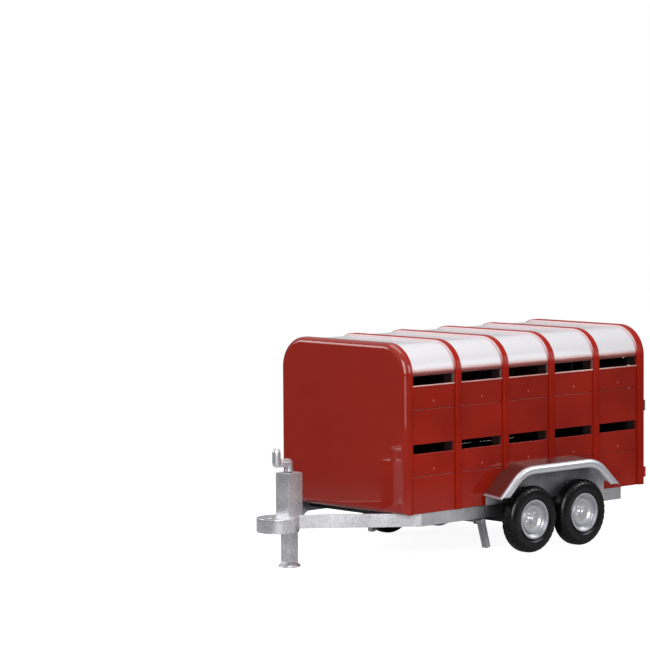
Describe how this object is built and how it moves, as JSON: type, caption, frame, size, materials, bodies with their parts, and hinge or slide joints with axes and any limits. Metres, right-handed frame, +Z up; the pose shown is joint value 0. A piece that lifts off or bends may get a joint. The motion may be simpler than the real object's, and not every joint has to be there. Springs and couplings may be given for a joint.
{
  "type": "livestock trailer",
  "caption": "Livestock trailer: ribbed and slatted box body with a white roof, rear ramp and inner gates, on a twin-axle chassis with an A-frame drawbar and screw jack.",
  "frame": {"origin": "on the ground under the middle of the overall length and width", "axes": "+Y rearwards from the drawbar, +X to the left-hand side seen in the direction of travel, +Z up"},
  "size_m": [2.446, 5.0239, 2.355],
  "materials": {
    "red_paint": "gloss",
    "white_roof": "gloss",
    "silver_steel": "satin",
    "wheel_silver": "satin",
    "tyre_rubber": "satin",
    "deck_board": "matte",
    "lamp_lens": "gloss"
  },
  "bodies": {
    "trailer": {"chassis_rail_left": "silver_steel", "chassis_rail_right": "silver_steel", "cross_members": "silver_steel", "drawbar_left": "silver_steel", "drawbar_right": "silver_steel", "coupling_head": "silver_steel", "jack_housing": "silver_steel", "floor_deck": "deck_board", "front_panel": "red_paint", "front_hoop": "red_paint", "rear_portal": "red_paint", "rib_1": "red_paint", "rib_2": "red_paint", "rib_3": "red_paint", "rib_4": "red_paint", "inner_frames": "red_paint", "cant_rails": "red_paint", "board_low_left": "red_paint", "board_middle_left": "red_paint", "board_upper_left": "red_paint", "board_top_left": "red_paint", "board_low_right": "red_paint", "board_middle_right": "red_paint", "board_upper_right": "red_paint", "board_top_right": "red_paint", "board_bolts": "red_paint", "roof_sheet_1": "white_roof", "roof_sheet_2": "white_roof", "roof_sheet_3": "white_roof", "roof_sheet_4": "white_roof", "roof_sheet_5": "white_roof", "mudguard_left": "silver_steel", "mudguard_right": "silver_steel", "splash_plates": "silver_steel", "ramp_hinges": "silver_steel", "rear_lamps": "lamp_lens", "axle_beams": "silver_steel"},
    "jack_leg": {"jack_leg": "silver_steel", "jack_foot": "silver_steel"},
    "crank": {"crank_handle": "silver_steel"},
    "prop_stand": {"prop_stand": "silver_steel"},
    "arm_front_left": {"arm_front_left": "silver_steel"},
    "wheel_front_left": {"rim_front_left": "wheel_silver", "tyre_front_left": "tyre_rubber"},
    "arm_front_right": {"arm_front_right": "silver_steel"},
    "wheel_front_right": {"rim_front_right": "wheel_silver", "tyre_front_right": "tyre_rubber"},
    "arm_rear_left": {"arm_rear_left": "silver_steel"},
    "wheel_rear_left": {"rim_rear_left": "wheel_silver", "tyre_rear_left": "tyre_rubber"},
    "arm_rear_right": {"arm_rear_right": "silver_steel"},
    "wheel_rear_right": {"rim_rear_right": "wheel_silver", "tyre_rear_right": "tyre_rubber"},
    "ramp": {"ramp": "red_paint", "ramp_treads": "silver_steel"},
    "gate_left": {"gate_left": "silver_steel"},
    "gate_right": {"gate_right": "silver_steel"},
    "gate_bolt": {"gate_bolt": "silver_steel"},
    "catch_left": {"catch_left": "silver_steel"},
    "catch_right": {"catch_right": "silver_steel"}
  },
  "joints": [
    {"name": "crank_turn", "type": "hinge", "parent": "trailer", "child": "crank", "pos_m": [0, -2.123, 1], "axis": [0, 0, 1], "range_deg": [0, 5220]},
    {"name": "jack_stroke", "type": "slide", "parent": "trailer", "child": "jack_leg", "axis": [0, 0, 1], "range_m": [0, 0.29]},
    {"name": "stand_swing", "type": "hinge", "parent": "trailer", "child": "prop_stand", "pos_m": [0, -0.138, 0.37], "axis": [-1, 0, 0], "range_deg": [0, 104]},
    {"name": "arm_front_left_bump", "type": "hinge", "parent": "trailer", "child": "arm_front_left", "pos_m": [0.932, 0.24303, 0.368], "axis": [1, 0, 0], "range_deg": [0, 16], "stiffness_Nm_per_rad": 6000, "springref_deg": -8.59},
    {"name": "wheel_front_left_spin", "type": "hinge", "parent": "arm_front_left", "child": "wheel_front_left", "pos_m": [1.0985, 0.398, 0.365], "axis": [1, 0, 0], "continuous": true},
    {"name": "arm_front_right_bump", "type": "hinge", "parent": "trailer", "child": "arm_front_right", "pos_m": [-0.932, 0.24303, 0.368], "axis": [1, 0, 0], "range_deg": [0, 16], "stiffness_Nm_per_rad": 6000, "springref_deg": -8.59},
    {"name": "wheel_front_right_spin", "type": "hinge", "parent": "arm_front_right", "child": "wheel_front_right", "pos_m": [-1.0985, 0.398, 0.365], "axis": [1, 0, 0], "continuous": true},
    {"name": "arm_rear_left_bump", "type": "hinge", "parent": "trailer", "child": "arm_rear_left", "pos_m": [0.932, 1.04303, 0.368], "axis": [1, 0, 0], "range_deg": [0, 16], "stiffness_Nm_per_rad": 6000, "springref_deg": -8.59},
    {"name": "wheel_rear_left_spin", "type": "hinge", "parent": "arm_rear_left", "child": "wheel_rear_left", "pos_m": [1.0985, 1.198, 0.365], "axis": [1, 0, 0], "continuous": true},
    {"name": "arm_rear_right_bump", "type": "hinge", "parent": "trailer", "child": "arm_rear_right", "pos_m": [-0.932, 1.04303, 0.368], "axis": [1, 0, 0], "range_deg": [0, 16], "stiffness_Nm_per_rad": 6000, "springref_deg": -8.59},
    {"name": "wheel_rear_right_spin", "type": "hinge", "parent": "arm_rear_right", "child": "wheel_rear_right", "pos_m": [-1.0985, 1.198, 0.365], "axis": [1, 0, 0], "continuous": true},
    {"name": "ramp_fall", "type": "hinge", "parent": "trailer", "child": "ramp", "pos_m": [0, 2.497, 0.585], "axis": [-1, 0, 0], "range_deg": [0, 124]},
    {"name": "gate_left_swing", "type": "hinge", "parent": "trailer", "child": "gate_left", "pos_m": [0.82, 2.297, 1.3], "axis": [0, 0, 1], "range_deg": [0, 88]},
    {"name": "gate_right_swing", "type": "hinge", "parent": "trailer", "child": "gate_right", "pos_m": [-0.82, 2.297, 1.3], "axis": [0, 0, -1], "range_deg": [0, 88]},
    {"name": "gate_bolt_slide", "type": "slide", "parent": "gate_left", "child": "gate_bolt", "axis": [-1, 0, 0], "range_m": [0, 0.04]},
    {"name": "catch_left_turn", "type": "hinge", "parent": "trailer", "child": "catch_left", "pos_m": [0.925, 2.492, 1.491], "axis": [0, 1, 0], "range_deg": [0, 90]},
    {"name": "catch_right_turn", "type": "hinge", "parent": "trailer", "child": "catch_right", "pos_m": [-0.925, 2.492, 1.491], "axis": [0, -1, 0], "range_deg": [0, 90]}
  ],
  "couplings": [
    {"joint": "jack_stroke", "follows": "crank_turn", "m_per_rad": 0.0031831}
  ]
}
